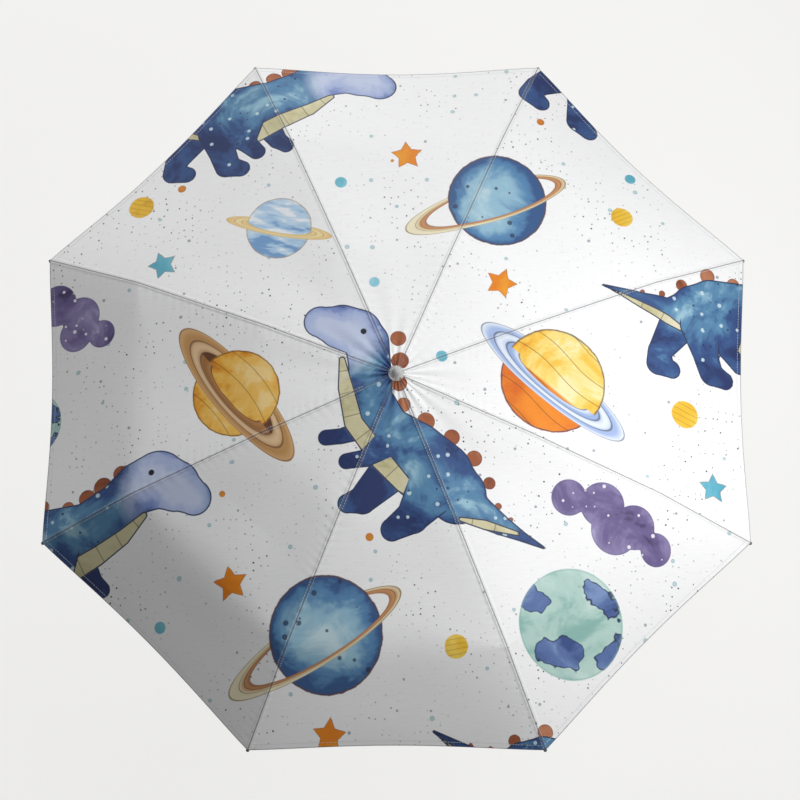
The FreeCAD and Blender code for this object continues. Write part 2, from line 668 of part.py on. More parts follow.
os.makedirs("parts", exist_ok=True)
for name, shape in all_nodes().items():
    shape.exportStep(f"parts/{name}.step")
print(f"runner travel {RUNNER_TRAVEL:.2f}, tips at r {TIP[0]:.1f} z {TIP[1]:.1f}, crown z {CROWN_Z:.1f}")
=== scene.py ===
"""A child's three-fold umbrella, open and upright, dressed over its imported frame.

Metres, +Z up the shaft from the centre of the handle's base. Sections follow the umbrella as it is put
together: where it stands, the handle, the shaft, the crown and runner, the ribs, and then the cloth.
"""
import math

import bpy
import numpy as np
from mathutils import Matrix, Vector


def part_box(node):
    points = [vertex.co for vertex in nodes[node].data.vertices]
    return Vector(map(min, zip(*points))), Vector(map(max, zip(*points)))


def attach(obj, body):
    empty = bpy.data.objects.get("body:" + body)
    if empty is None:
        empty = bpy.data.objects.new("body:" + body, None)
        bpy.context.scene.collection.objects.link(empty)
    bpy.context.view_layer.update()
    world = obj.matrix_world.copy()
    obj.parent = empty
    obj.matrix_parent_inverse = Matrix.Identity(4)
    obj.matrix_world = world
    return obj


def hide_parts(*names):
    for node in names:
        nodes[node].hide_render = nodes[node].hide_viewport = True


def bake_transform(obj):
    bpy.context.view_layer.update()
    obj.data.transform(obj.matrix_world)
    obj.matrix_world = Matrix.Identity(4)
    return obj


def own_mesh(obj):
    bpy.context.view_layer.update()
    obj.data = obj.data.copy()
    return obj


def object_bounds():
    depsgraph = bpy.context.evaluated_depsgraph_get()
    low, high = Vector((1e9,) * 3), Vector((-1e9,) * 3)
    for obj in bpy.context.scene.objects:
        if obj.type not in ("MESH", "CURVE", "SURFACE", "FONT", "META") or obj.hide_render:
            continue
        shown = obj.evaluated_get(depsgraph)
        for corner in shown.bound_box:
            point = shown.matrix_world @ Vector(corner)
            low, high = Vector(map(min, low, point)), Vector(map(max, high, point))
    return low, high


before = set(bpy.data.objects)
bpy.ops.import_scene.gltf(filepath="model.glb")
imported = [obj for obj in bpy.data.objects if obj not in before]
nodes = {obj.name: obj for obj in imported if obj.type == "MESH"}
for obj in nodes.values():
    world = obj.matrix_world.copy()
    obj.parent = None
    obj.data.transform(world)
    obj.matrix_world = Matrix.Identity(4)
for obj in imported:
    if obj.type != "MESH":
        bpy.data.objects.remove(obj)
cad_box = [list(map(float, corner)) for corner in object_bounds()]
MM = 0.001
TAU = 2 * math.pi


# ---------------------------------------------------------------- where it stands
# A pale seamless floor, a soft lamp low on the right, a broad one high behind, and a pale room.
# The camera looks steeply down on the canopy through a long lens.
SHADE_ROOM = 0.085
FLOOR_COLOUR = (0.905, 0.9, 0.885)
FLOOR_GLOW = 0.86
scene = bpy.context.scene
scene.view_settings.view_transform = "Standard"


def put(tree, kind, *values, **settings):
    """Adds one node, fills its inputs in order with numbers, colours or other nodes' outputs, and returns
    its output."""
    node = tree.nodes.new("ShaderNode" + kind)
    for name, value in settings.items():
        setattr(node, name, value)
    for socket, value in zip([i for i in node.inputs if i.enabled], values):
        if isinstance(value, bpy.types.NodeSocket):
            tree.links.new(value, socket)
        elif value is not None:
            socket.default_value = value
    return next(o for o in node.outputs if o.enabled)


def maths(tree, operation, *values):
    """One Math node."""
    return put(tree, "Math", *values, operation=operation)


def object_place(tree):
    """The place on the object, in its own coordinates."""
    put(tree, "TexCoord")
    return tree.nodes[-1].outputs["Object"]


def new_finish(name, colour, roughness, metallic=0.0):
    """A material with one Principled shader, and its node tree and shader."""
    material = bpy.data.materials.new(name)
    material.use_nodes = True
    shader = material.node_tree.nodes["Principled BSDF"]
    shader.inputs["Base Color"].default_value = (*colour, 1)
    shader.inputs["Roughness"].default_value = roughness
    shader.inputs["Metallic"].default_value = metallic
    return material, material.node_tree, shader


def surface(name, points, quads, materials=()):
    """A smooth object from an (n, 3) array of points and an (m, 4) array of corner numbers."""
    mesh = bpy.data.meshes.new(name)
    mesh.from_pydata(points.tolist(), [], quads.tolist())
    for material in materials:
        mesh.materials.append(material)
    mesh.polygons.foreach_set("use_smooth", np.full(len(mesh.polygons), True))
    thing = bpy.data.objects.new(name, mesh)
    scene.collection.objects.link(thing)
    return thing


floor_finish, tree, shader = new_finish("studio_floor", (0.16, 0.16, 0.158), 0.9)
shader.inputs["Emission Color"].default_value = (*FLOOR_COLOUR, 1)
shader.inputs["Emission Strength"].default_value = FLOOR_GLOW
FLOOR_HALF = 14.0
floor_corners = np.array([[-1, -1, 0], [1, -1, 0], [1, 1, 0], [-1, 1, 0]]) * FLOOR_HALF
surface("floor", floor_corners, np.array([[0, 1, 2, 3]]), [floor_finish])

room = bpy.data.worlds.new("room")
room.use_nodes = True
scene.world = room
tree = room.node_tree
seen = put(tree, "LightPath")
unseen_room = (SHADE_ROOM, SHADE_ROOM, SHADE_ROOM * 1.01, 1)
shade = put(tree, "Mix", seen, unseen_room, (*FLOOR_COLOUR, 1), data_type="RGBA")
tree.links.new(shade, tree.nodes["Background"].inputs["Color"])


def lamp(name, place, aim, size, watts):
    """A square soft lamp at place, turned to aim."""
    light = bpy.data.lights.new(name, "AREA")
    light.size = size
    light.energy = watts
    thing = bpy.data.objects.new(name, light)
    thing.location = place
    thing.rotation_euler = (Vector(aim) - Vector(place)).to_track_quat("-Z", "Y").to_euler()
    thing.visible_camera = False
    scene.collection.objects.link(thing)


top = cad_box[1][2]
middle = (0, 0, top - 0.04)
lamp("key", (0.55, -0.17, top + 0.44), middle, 0.7, 4.9)
lamp("window", (-0.25, 1.45, top + 0.95), middle, 1.6, 22)

# The view: 76.6 degrees down, from the side that faces -Y.
DOWN = math.radians(76.6)
DISTANCE = 3.615
LENS_MM = 140.1
hem_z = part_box("outer_rib_1")[0][2]
aim = Vector((0.004, 0.001, hem_z + 0.0015))
back = Vector((0, -math.cos(DOWN), math.sin(DOWN)))
lens = bpy.data.cameras.new("camera")
lens.lens = LENS_MM
lens.sensor_width = 36
lens.clip_start = 0.05
camera = bpy.data.objects.new("camera", lens)
camera.location = aim + back * DISTANCE
camera.rotation_euler = back.to_track_quat("Z", "Y").to_euler()
scene.collection.objects.link(camera)
scene.camera = camera


# ---------------------------------------------------------------- handle
# A moulded polypropylene grip with a fine spark-eroded texture, closed by a glossy plug below and a
# glossy collar above. The three click together over the foot of the lower tube.
def moulded(name, colour, roughness, grain, depth):
    """Moulded plastic: a fine pebble texture of the given grain, in metres, and slight clouding of the
    colour."""
    material, tree, shader = new_finish(name, colour, roughness)
    place = object_place(tree)
    pebble = put(tree, "TexNoise", place, 1 / grain, 2.0, 0.6)
    cloud = put(tree, "TexNoise", place, 38.0, 3.0, 0.55)
    shift = put(tree, "MapRange", cloud, 0.3, 0.7, 0.93, 1.05)
    tint = put(tree, "Mix", 1.0, (*colour, 1), shift, data_type="RGBA", blend_type="MULTIPLY")
    tree.links.new(tint, shader.inputs["Base Color"])
    gloss = put(tree, "MapRange", cloud, 0.25, 0.75, roughness * 0.85, roughness * 1.2)
    tree.links.new(gloss, shader.inputs["Roughness"])
    bump = put(tree, "Bump", 0.35, depth, 1.0, pebble)
    tree.links.new(bump, shader.inputs["Normal"])
    return material


def dress(material, *names):
    """Gives CAD nodes their finish."""
    for name in names:
        mesh = nodes[name].data
        mesh.materials.clear()
        mesh.materials.append(material)


GRIP_COLOUR = (0.86, 0.86, 0.85)
TRIM_COLOUR = (0.1, 0.28, 0.42)
dress(moulded("grip_plastic", GRIP_COLOUR, 0.55, 0.0007, 0.0002), "handle_grip")
trim_plastic = moulded("trim_plastic", TRIM_COLOUR, 0.28, 0.003, 0.00003)
dress(trim_plastic, "handle_collar", "handle_base")


# ---------------------------------------------------------------- shaft
# Three seam-welded steel tubes, nickel plated and drawn, so fine scratches run along them. Black nylon
# bushes and collars guide them.
def plated(name, colour, roughness, along):
    """Plated steel with drawing scratches, stretched along the given axis by the scales in along."""
    material, tree, shader = new_finish(name, colour, roughness, 1.0)
    place = object_place(tree)
    stretched = put(tree, "Mapping", place, None, None, along)
    scratch = put(tree, "TexNoise", stretched, 1.0, 3.0, 0.65)
    haze = put(tree, "TexNoise", place, 22.0, 2.0, 0.5)
    worn = maths(tree, "ADD", scratch, haze)
    rough = put(tree, "MapRange", worn, 0.7, 1.35, roughness * 0.7, roughness * 1.5)
    tree.links.new(rough, shader.inputs["Roughness"])
    tone = put(tree, "MapRange", scratch, 0.3, 0.7, 0.88, 1.06)
    tint = put(tree, "Mix", 1.0, (*colour, 1), tone, data_type="RGBA", blend_type="MULTIPLY")
    tree.links.new(tint, shader.inputs["Base Color"])
    bump = put(tree, "Bump", 0.15, 0.00002, 1.0, scratch)
    tree.links.new(bump, shader.inputs["Normal"])
    return material


tube_nickel = plated("tube_nickel", (0.74, 0.74, 0.75), 0.2, (2600, 2600, 12))
dress(tube_nickel, "lower_tube", "middle_tube", "upper_tube")
nylon = moulded("black_nylon", (0.03, 0.03, 0.032), 0.42, 0.0012, 0.00006)
dress(nylon, "lower_tube_bush", "middle_tube_bush", "middle_tube_collar", "upper_tube_collar")


# ---------------------------------------------------------------- crown, runner and ferrule
# The crown and the runner are black nylon mouldings, slotted for the ribs and threaded with wire. The
# ferrule is a pale cap screwed down over the cloth.
dress(nylon, "crown", "runner")
wire_steel = plated("wire_steel", (0.62, 0.62, 0.63), 0.3, (400, 400, 400))
dress(wire_steel, "crown_wire", "runner_wire", "runner_catch")
ferrule_plastic = moulded("ferrule_plastic", (0.5, 0.51, 0.5), 0.32, 0.002, 0.00003)
dress(ferrule_plastic, "ferrule", "ferrule_washer")


# ---------------------------------------------------------------- ribs and stretchers
# Strip steel pressed into channels, zinc plated, with bright rivets. Each outer rod ends in a grey
# moulded ball tip, which its finish tells apart by its distance from the shaft.
ARMS = range(1, 9)
rib_zinc = plated("rib_zinc", (0.55, 0.56, 0.58), 0.34, (300, 300, 300))
dress(rib_zinc, *[f"{part}_{k}" for part in ("inner_rib", "middle_rib", "stretcher") for k in ARMS])

TIP_SLEEVE = 12.5 * MM
TIP_GREY = (0.09, 0.092, 0.1, 1)
tip_far = math.hypot(*[max(abs(low), abs(high)) for low, high in zip(*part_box("outer_rib_1"))][:2])
outer_finish = plated("outer_rod_and_tip", (0.55, 0.56, 0.58), 0.32, (300, 300, 300))
tree = outer_finish.node_tree
shader = tree.nodes["Principled BSDF"]
flat_place = put(tree, "VectorMath", object_place(tree), (1, 1, 0), operation="MULTIPLY")
put(tree, "VectorMath", flat_place, operation="LENGTH")
far = tree.nodes[-1].outputs["Value"]
on_tip = maths(tree, "GREATER_THAN", far, tip_far - TIP_SLEEVE)
steel = shader.inputs["Base Color"].links[0].from_socket
steel_or_tip = put(tree, "Mix", on_tip, steel, TIP_GREY, data_type="RGBA")
tree.links.new(steel_or_tip, shader.inputs["Base Color"])
tree.links.new(maths(tree, "SUBTRACT", 1.0, on_tip), shader.inputs["Metallic"])
dress(outer_finish, *[f"outer_rib_{k}" for k in ARMS])


# ---------------------------------------------------------------- the print
# Watercolour planets, clouds, stars and a plain long-necked dinosaur of no particular kind, printed on
# the cloth as one picture before it is cut. Places are plan millimetres from the ferrule, +X right.
# Each motif is written on the cloth as an attribute, and the cloth's finish paints it from that.
FAR_OFF = 99.0
MOTIF_REACH = 4


def turned(place, centre, degrees, scale=1.0):
    """Plan places seen from a motif: moved to its centre, turned back by its angle, scaled to its size."""
    x, y = (place - np.array(centre) * MM).T
    a = math.radians(degrees)
    return np.stack([x * math.cos(a) + y * math.sin(a), y * math.cos(a) - x * math.sin(a)], 1) / scale


def nearest(place, motifs):
    """For motifs of (x, y, radius, turn): local places in radii, from the motif that is nearest by its own
    radius. Past MOTIF_REACH radii a place counts as far off, so that no value between two motifs runs
    through a motif's middle."""
    best = np.full((len(place), 3), FAR_OFF)
    reach = np.full(len(place), np.inf)
    for number, (x, y, radius, degrees) in enumerate(motifs):
        local = turned(place, (x, y), degrees, radius * MM)
        away = np.hypot(*local.T)
        closer = away < reach
        reach[closer] = away[closer]
        best[closer] = np.column_stack([local, np.full(len(local), float(number))])[closer]
    best[reach > MOTIF_REACH, :2] = FAR_OFF
    return best


def to_chain(place, beads):
    """Distance in metres to a chain of round beads (x, y, radius in mm), each pair joined by a tapered
    limb, and the length along the chain to the nearest place on it."""
    distance = np.full(len(place), np.inf)
    along = np.zeros(len(place))
    run = 0.0
    for (x0, y0, r0), (x1, y1, r1) in zip(beads, beads[1:]):
        start, step = np.array([x0, y0]) * MM, np.array([x1 - x0, y1 - y0]) * MM
        share = np.clip((place - start) @ step / (step @ step), 0, 1)
        radius = (r0 + (r1 - r0) * share) * MM
        gap = np.hypot(*(place - start - share[:, None] * step).T) - radius
        closer = gap < distance
        distance = np.where(closer, gap, distance)
        along = np.where(closer, run + share * np.hypot(*step), along)
        run += np.hypot(*step)
    return distance, along


def to_chains(place, chains):
    """Distance in metres to the nearest of some chains."""
    return np.min([to_chain(place, beads)[0] for beads in chains], axis=0)


def to_rounds(place, rounds):
    """Distance in metres to the nearest of some round spots (x, y, radius in mm)."""
    return np.min([np.hypot(*(place - np.array([x, y]) * MM).T) - r * MM for x, y, r in rounds], axis=0)


RINGED = {
    "blue": [(116, 217, 57, 21), (-79, -285, 64, 30)],
    "gold": [(177, -1, 60, -38)],
    "amber": [(-181, -15, 50, -51)],
    "sky": [(-135, 183, 38, -14)],
}
GLOBES = [(197, -270, 60, 15), (-428, -25, 40, 0)]
LANDS = [
    [(-0.72, 0.62, 0.26), (-0.5, 0.5, 0.16)],
    [(0.45, 0.55, 0.15), (0.85, 0.15, 0.2)],
    [(-0.55, -0.3, 0.25), (-0.2, -0.52, 0.3)],
    [(0.5, -0.78, 0.22), (0.8, -0.5, 0.14)],
]
SINGLE = {
    "small": [(-299, 229, 15, -20), (262, 209, 13, 30), (330, -27, 16, -20), (67, -298, 13, 10)],
    "star": [(12, 275, 19, 5), (119, 113, 19, -20), (-186, -227, 20, 10), (-76, -391, 20, -5)],
    "teal_star": [(-269, 144, 18, 20), (362, -110, 18, 0)],
    "spot": [(-64, 239, 7, 0), (-25, 111, 6, 0), (51, 22, 6.5, 0), (-269, -268, 6.5, 0),
             (275, 266, 6.5, 0)],
    "rust_spot": [(169, 328, 4.5, 0), (-196, -128, 3.5, 0), (-30, -180, 4.5, 0), (-251, 248, 5, 0),
                  (-5, 268, 2, 0)],
}
CLOUDS = [
    (194, -132, 20), (232, -139, 25), (246, -166, 27), (268, -162, 24), (294, -184, 18),
    (-396, 112, 24), (-366, 94, 23), (-372, 74, 20), (-340, 70, 16),
]

# A rearing dinosaur that faces left, in plan places, and a walking one that faces right, from its near
# hind foot.
REARING = {
    "body": [(-86, 64, 19), (-62, 57, 27), (-44, 50, 28), (-33, 38, 25), (-30, 9, 24), (-30, -29, 26),
             (-14, -66, 32), (18, -92, 40), (46, -114, 41), (68, -134, 33), (88, -149, 19),
             (116, -165, 12), (141, -177, 6), (167, -189, 1.5)],
    "far": [[(-36, -62, 11), (-62, -69, 9), (-79, -70, 9)],
            [(-12, -114, 22), (-38, -140, 16), (-55, -144, 11)]],
    "limbs": [[(-14, -80, 15), (-34, -94, 10), (-56, -97, 9)],
              [(42, -126, 31), (18, -158, 19), (-5, -172, 13)]],
    "belly": [(-61, 18, 4), (-57, -14, 9), (-48, -54, 11), (-17, -96, 12), (7, -122, 10),
              (19, -138, 4)],
    "undertail": [(72, -161, 3), (99, -166, 6), (136, -174, 3)],
    "plates": [(2, 42, 9), (4, 15, 10), (3, -11, 9), (8, -35, 8), (33, -53, 10), (62, -70, 9),
               (87, -93, 9), (104, -120, 7), (114, -145, 4), (128, -159, 3), (150, -176, 2)],
    "head": [(-66, 57, 0)],
    "eye": [(-37, 51, 0)],
}
WALKING = {
    "body": [(180, 116, 20), (158, 130, 29), (139, 138, 33), (116, 130, 30), (91, 112, 27),
             (53, 88, 31), (8, 82, 35), (-14, 76, 31), (-48, 72, 15), (-82, 83, 7), (-125, 96, 1.5)],
    "far": [[(52, 50, 14), (62, 32, 11), (72, 24, 9)],
            [(-38, 56, 22), (-60, 22, 14), (-62, 8, 14), (-46, 3, 11)]],
    "limbs": [[(28, 68, 18), (24, 36, 12), (38, 20, 10)],
              [(-10, 58, 25), (-3, 24, 16), (3, 6, 15), (19, 0, 11)]],
    "belly": [(123, 99, 4), (98, 78, 9), (67, 60, 11), (37, 46, 12), (6, 42, 10), (-30, 54, 6)],
    "undertail": [(-115, 91, 1.5), (-83, 76, 4), (-50, 61, 6), (-26, 50, 3)],
    "plates": [(95, 148, 9), (74, 135, 11), (55, 124, 10), (32, 115, 8), (0, 120, 9), (-32, 104, 7),
               (-56, 90, 4), (-79, 90, 3)],
    "head": [(150, 128, 0)],
    "eye": [(131, 146, 0)],
}
DINOSAURS = [
    (REARING, (0, 0), 0), (WALKING, (-200, 264), 0), (WALKING, (-408, -247), 0),
    (WALKING, (361, 21), 0), (WALKING, (143, -505), -12), (WALKING, (210, 333), -26),
]


def print_on(mesh, plan):
    """Writes the print's attributes on the mesh, from its plan places in metres."""
    fields = {name: nearest(plan, motifs) for name, motifs in {**RINGED, **SINGLE}.items()}
    globe = nearest(plan, GLOBES)
    globe[:, 2] = to_chains(globe[:, :2] * MM, LANDS) / MM
    parts = ("body", "far", "limbs", "belly", "bands", "plates", "head", "eye")
    near = {name: np.full(len(plan), 1.0) for name in parts}
    for shape, centre, degrees in DINOSAURS:
        local = turned(plan, centre, degrees)
        front, along = to_chain(local, shape["belly"])
        tail, tail_along = to_chain(local, shape["undertail"])
        along = np.where(tail < front, tail_along, along)
        belly = np.minimum(front, tail)
        near["bands"] = np.where(belly < near["belly"], along, near["bands"])
        found = {"body": to_chain(local, shape["body"])[0], "belly": belly}
        found.update({name: to_chains(local, shape[name]) for name in ("far", "limbs")})
        found.update({name: to_rounds(local, shape[name]) for name in ("plates", "head", "eye")})
        for name, gap in found.items():
            near[name] = np.minimum(near[name], gap)
    nothing = np.zeros(len(plan))
    fields["globe"] = globe
    fields["dinosaur"] = np.column_stack([near["body"], near["far"], near["belly"]])
    fields["trimmings"] = np.column_stack([near["bands"], near["plates"], near["head"]])
    fields["limbs"] = np.column_stack([near["limbs"], near["eye"], nothing])
    fields["cloud"] = np.column_stack([to_rounds(plan, CLOUDS), nothing, nothing])
    for name, values in fields.items():
        layer = mesh.attributes.new("print_" + name, "FLOAT_VECTOR", "POINT")
        values = np.clip(values, -FAR_OFF, FAR_OFF).astype(np.float32)
        layer.data.foreach_set("vector", values.ravel())


class Painter:
    """Lays one printed motif over another in a material's node tree. Colours are linear."""

    def __init__(self, tree, place):
        self.tree, self.place = tree, place
        self.wash_noise = put(tree, "TexNoise", place, 17.0, 4.0, 0.62, None, 0.5)
        self.fine_noise = put(tree, "TexNoise", place, 95.0, 3.0, 0.6)
        self.ground = (0.955, 0.957, 0.962, 1)

    def maths(self, operation, *values):
        """One Math node."""
        return maths(self.tree, operation, *values)

    def scaled(self, value, factor, plus=0.0):
        """value times factor, plus another value."""
        return self.maths("MULTIPLY_ADD", value, factor, plus)

    def length(self, u, v):
        """The length of (u, v)."""
        return self.maths("SQRT", self.scaled(u, u, self.scaled(v, v)))

    def shaky(self, value, amount):
        """value with a fine wobble, as a brush leaves."""
        return self.scaled(self.maths("SUBTRACT", self.fine_noise, 0.5), amount, value)

    def attribute(self, name):
        """The three values of a print attribute."""
        put(self.tree, "Attribute", attribute_name="print_" + name)
        vector = self.tree.nodes[-1].outputs["Vector"]
        put(self.tree, "SeparateXYZ", vector)
        return list(self.tree.nodes[-1].outputs)

    def below(self, value, edge, soft):
        """1 where value is under edge, fading over soft."""
        ends = edge - soft, edge + soft, 1.0, 0.0
        return put(self.tree, "MapRange", value, *ends, interpolation_type="SMOOTHSTEP")

    def near(self, value, middle, width, soft):
        """1 where value is within width of middle."""
        off = self.maths("ABSOLUTE", self.maths("SUBTRACT", value, middle))
        return self.below(off, width, soft)

    def stripes(self, value, count, width, soft):
        """1 on thin lines, count of them for each 1 that value rises by."""
        return self.near(self.maths("FRACT", self.scaled(value, count)), 0.5, width, soft)

    def outside(self, mask):
        """1 where mask is 0."""
        return self.maths("SUBTRACT", 1.0, mask)

    def both(self, *masks):
        """The product of masks."""
        found = masks[0]
        for mask in masks[1:]:
            found = self.maths("MULTIPLY", found, mask)
        return found

    def blend(self, mask, under, over):
        """over where mask is 1, and under where it is 0."""
        return put(self.tree, "Mix", mask, under, over, data_type="RGBA")

    def lay(self, mask, colour):
        """Prints colour over what is there."""
        self.ground = self.blend(mask, self.ground, colour)

    def wash(self, *colours, noise=None, low=0.34, high=0.66):
        """A watercolour wash: the colours in turn, as a noise rises from low to high."""
        node = self.tree.nodes.new("ShaderNodeValToRGB")
        ramp = node.color_ramp
        ramp.interpolation = "EASE"
        for number, colour in enumerate(colours):
            at = low + (high - low) * number / max(1, len(colours) - 1)
            point = ramp.elements[number] if number < 2 else ramp.elements.new(at)
            point.position = at
            point.color = (*colour, 1)
        self.tree.links.new(noise or self.wash_noise, node.inputs["Fac"])
        return node.outputs["Color"]

    def cells(self, spacing, radius, share):
        """Round dots in a scatter: the mask, each dot's own random number, and its distance and size."""
        scatter = (1 / spacing, 0.0, 0.5, 2.0, 1.0)
        put(self.tree, "TexVoronoi", self.place, *scatter, voronoi_dimensions="2D")
        node = self.tree.nodes[-1]
        put(self.tree, "SeparateColor", node.outputs["Color"])
        red, green, _ = self.tree.nodes[-1].outputs
        far_off = node.outputs["Distance"]
        size = self.scaled(green, 0.75 * radius / spacing, 0.25 * radius / spacing)
        past = self.maths("SUBTRACT", far_off, size)
        edge = put(self.tree, "MapRange", past, -0.02, 0.02, 1.0, 0.0)
        return self.both(edge, self.below(red, share, 0.001)), green, far_off, size


NAVY = (0.016, 0.03, 0.09)
BROWN = (0.13, 0.045, 0.012)
RING_LINES = (0.02, 0.34, 0.66)


def paint_planet(p, name, ring, disc, ring_wash, line, shift=(0.0, 0.0), shadow=0.0):
    """A disc with a tilted ring: the ring goes under the disc, and its near half again over it. ring is
    its half-length, half-width and inner share, in disc radii, and shift moves its outer and inner edges
    along it. shadow is the share of the far half, from its inner edge, that is dark."""
    u, v, _ = p.attribute(name)
    away = p.shaky(p.length(u, v), 0.05)
    up = p.maths("DIVIDE", v, ring[1])
    outer, inner = (
        p.length(p.maths("DIVIDE", p.maths("ADD", u, move), ring[0]), up) for move in shift
    )
    inside = p.maths("DIVIDE", inner, ring[2])
    band = p.both(p.below(outer, 1.0, 0.012), p.outside(p.below(inside, 1.0, 0.014)))
    depth = p.maths("DIVIDE", p.maths("SUBTRACT", inside, 1.0), 1 / ring[2] - 1)
    ring_paint = p.wash(*ring_wash, noise=depth, low=0.0, high=1.0)
    rims = p.near(outer, 0.99, 0.007, 0.01)
    for at in RING_LINES:
        rims = p.maths("MAXIMUM", rims, p.near(depth, at, 0.02, 0.03))
    ring_paint = p.blend(p.both(rims, 0.9), ring_paint, (*line, 1))
    near_side = p.below(v, 0.0, 0.01)
    p.lay(band, ring_paint)
    if shadow:
        p.lay(p.both(band, p.outside(near_side), p.below(depth, shadow, 0.02)), (*line, 1))
    outline = p.near(away, 0.985, 0.012, 0.018)
    p.lay(p.below(away, 1.0, 0.012), p.blend(outline, disc(p, u, v, away), (*line, 1)))
    p.lay(p.both(band, near_side), ring_paint)


def blue_disc(p, u, v, away):
    """Deep blue at the rim, pale towards the middle, with a few dark craters."""
    light = p.scaled(p.wash_noise, 0.55, p.scaled(p.maths("POWER", away, 2.0), -0.33))
    blues = (0.035, 0.1, 0.26), (0.09, 0.24, 0.45), (0.3, 0.52, 0.66), (0.55, 0.72, 0.78)
    dots, _, _, _ = p.cells(0.016, 0.0032, 0.3)
    return p.blend(p.both(dots, 0.8), p.wash(*blues, noise=light, low=-0.03, high=0.3), (*NAVY, 1))


def gold_disc(p, u, v, away):
    """Yellow above the ring and orange below it, with thin drawn bands that wave as a sine."""
    yellows = (0.86, 0.34, 0.008), (0.93, 0.56, 0.06), (0.96, 0.72, 0.2), (0.97, 0.84, 0.45)
    orange = p.wash((0.7, 0.13, 0.003), (0.88, 0.26, 0.008))
    colour = p.blend(p.below(v, -0.12, 0.03), p.wash(*yellows, low=0.34, high=0.62), orange)
    bend = p.scaled(p.maths("SINE", p.scaled(u, 3.4)), 0.05, v)
    return p.blend(p.both(p.stripes(bend, 2.7, 0.02, 0.022), 0.75), colour, (*BROWN, 1))


def amber_disc(p, u, v, away):
    """Amber, darker at the rim, with a few drawn bands that bow as a parabola."""
    light = p.scaled(p.maths("POWER", away, 3.0), -0.14, p.wash_noise)
    ambers = (0.5, 0.15, 0.006), (0.78, 0.34, 0.02), (0.88, 0.52, 0.1), (0.92, 0.66, 0.27)
    colour = p.wash(*ambers, noise=light, low=0.24, high=0.56)
    bend = p.scaled(p.scaled(u, u), 0.16, v)
    return p.blend(p.both(p.stripes(bend, 2.3, 0.018, 0.022), 0.7), colour, (*BROWN, 1))


def sky_disc(p, u, v, away):
    """Pale sky blue with loose brush strokes along the ring."""
    drawn_out = put(p.tree, "CombineXYZ", u, p.scaled(v, 3.6), 0.0)
    streaks = put(p.tree, "TexNoise", drawn_out, 0.8, 3.0, 0.55)
    skies = (0.18, 0.36, 0.64), (0.4, 0.6, 0.82), (0.55, 0.72, 0.88), (0.86, 0.9, 0.95)
    return p.wash(*skies, noise=p.scaled(v, 0.06, streaks), low=0.38, high=0.6)


def paint_globe(p):
    """Mint sea with ragged blue patches, outlined."""
    u, v, land = p.attribute("globe")
    away = p.length(u, v)
    ragged = put(p.tree, "TexNoise", put(p.tree, "CombineXYZ", u, v, 3.7), 3.2, 2.0, 0.5)
    coast = p.scaled(p.maths("SUBTRACT", ragged, 0.5), 0.5, land)
    sea = p.wash((0.25, 0.48, 0.43), (0.46, 0.66, 0.6), (0.6, 0.77, 0.72))
    blue = p.wash((0.03, 0.07, 0.24), (0.09, 0.16, 0.38), (0.2, 0.3, 0.55))
    land_paint = p.blend(p.near(coast, -0.012, 0.014, 0.012), blue, (*NAVY, 1))
    globe = p.blend(p.below(coast, 0.0, 0.012), sea, land_paint)
    rim = p.both(p.near(away, 0.98, 0.01, 0.015), 0.5)
    p.lay(p.below(away, 1.0, 0.012), p.blend(rim, globe, (0.2, 0.42, 0.4, 1)))


def paint_clouds(p):
    """Violet clouds, darker in patches, with white flecks."""
    gap, _, _ = p.attribute("cloud")
    violets = (0.05, 0.035, 0.12), (0.14, 0.105, 0.27), (0.25, 0.21, 0.41), (0.55, 0.52, 0.72)
    flecks, _, _, _ = p.cells(0.013, 0.0022, 0.45)
    colour = p.wash(*violets, low=0.3, high=0.68)
    colour = p.blend(p.both(flecks, 0.9), colour, (0.9, 0.88, 0.95, 1))
    rim = p.both(p.near(gap, -0.0005, 0.0006, 0.0006), 0.5)
    p.lay(p.below(gap, 0.0, 0.0005), p.blend(rim, colour, (0.1, 0.06, 0.2, 1)))


STAR_WAIST = 0.53


def paint_stars(p, name, *colours):
    """Five-pointed stars: the angle is folded into one point, whose straight side is a line in the folded
    place, from the tip at 1 to the waist."""
    u, v, _ = p.attribute(name)
    away = p.length(u, v)
    folded = p.maths("PINGPONG", p.maths("ADD", p.maths("ARCTAN2", u, v), TAU), TAU / 10)
    x = p.maths("MULTIPLY", away, p.maths("SINE", folded))
    y = p.maths("MULTIPLY", away, p.maths("COSINE", folded))
    waist = Vector((math.sin(TAU / 10), math.cos(TAU / 10))) * STAR_WAIST
    side = (waist - Vector((0, 1))).normalized()
    gap = p.scaled(x, -side.y, p.scaled(p.maths("SUBTRACT", y, 1.0), side.x))
    gap = p.shaky(gap, 0.1)
    outline = p.near(gap, -0.01, 0.02, 0.03)
    p.lay(p.below(gap, 0.0, 0.03), p.blend(outline, p.wash(*colours), (0.35, 0.12, 0.01, 1)))


def paint_round(p, name, colours, lines=0.0):
    """Plain dots, or small planets where lines gives a number of drawn bands."""
    u, v, _ = p.attribute(name)
    away = p.shaky(p.length(u, v), 0.12)
    colour = p.wash(*colours)
    if lines:
        bands = p.both(p.stripes(v, lines, 0.06, 0.08), 0.6)
        colour = p.blend(bands, colour, (0.42, 0.14, 0.01, 1))
    p.lay(p.below(away, 1.0, 0.05), colour)


HEAD_REACH = 0.052
EYE_R = 0.0035
BAND_PITCH = 0.026
INK = (-0.0007, 0.0008, 0.0004)


